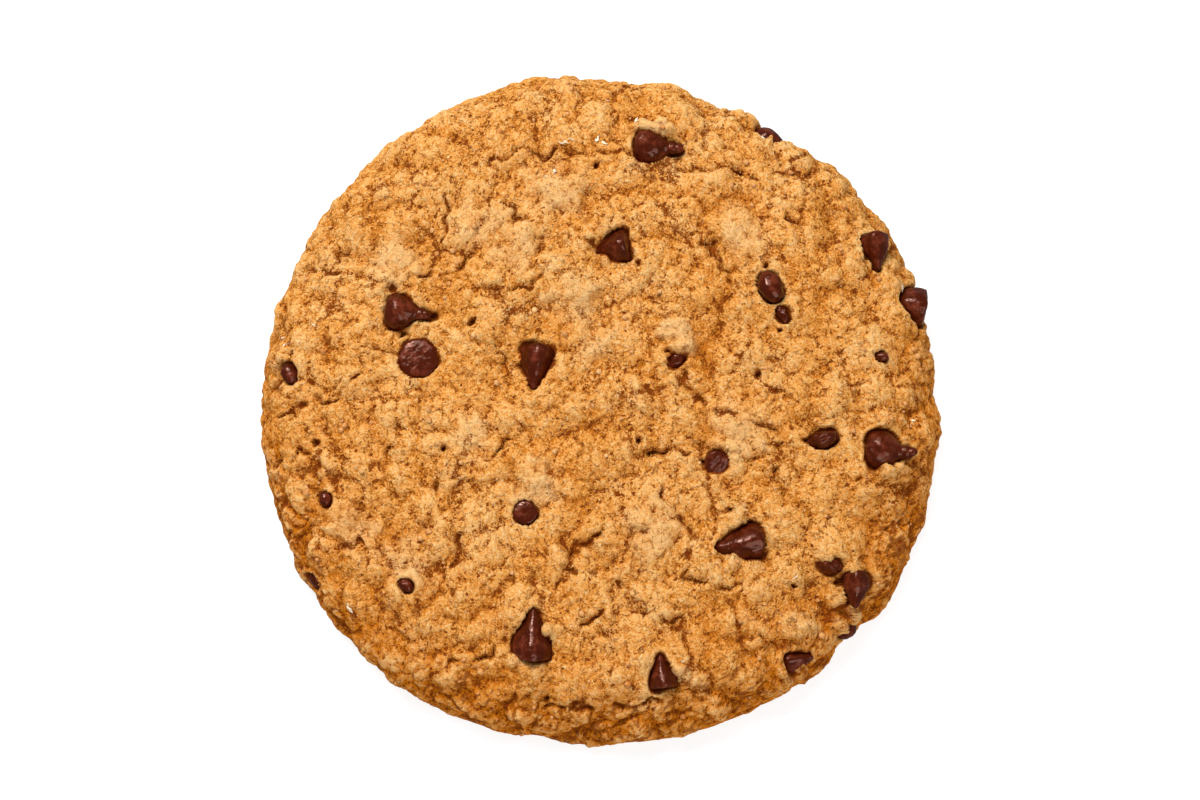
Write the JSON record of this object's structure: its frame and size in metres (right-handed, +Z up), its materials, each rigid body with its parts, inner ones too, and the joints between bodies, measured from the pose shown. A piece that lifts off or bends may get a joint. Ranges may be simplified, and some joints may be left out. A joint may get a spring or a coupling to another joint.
{
  "type": "chocolate chip cookie",
  "caption": "Large round baked cookie with a craggy, cracked top, a flat base and chocolate chips set in it.",
  "frame": {"origin": "middle of the cookie's flat base", "axes": "+Z up through the cookie, from its flat base to its craggy top; -Y towards the edge nearest the viewer of the picture; +X to the picture's right"},
  "size_m": [0.1114, 0.1109, 0.0147],
  "materials": {
    "dough": "baked crust, dull and sugary",
    "chocolate": "chocolate, softly shiny"
  },
  "bodies": {
    "root": {"dough": "dough", "chip_01": "chocolate", "chip_02": "chocolate", "chip_03": "chocolate", "chip_04": "chocolate", "chip_05": "chocolate", "chip_06": "chocolate", "chip_07": "chocolate", "chip_08": "chocolate", "chip_09": "chocolate", "chip_10": "chocolate", "chip_11": "chocolate", "chip_12": "chocolate", "chip_13": "chocolate", "chip_14": "chocolate", "chip_15": "chocolate", "chip_16": "chocolate", "chip_17": "chocolate", "chip_18": "chocolate", "chip_19": "chocolate", "chip_20": "chocolate", "chip_21": "chocolate", "chip_22": "chocolate", "chip_23": "chocolate", "chip_24": "chocolate", "chip_25": "chocolate", "chip_26": "chocolate", "chip_27": "chocolate"}
  },
  "joints": []
}
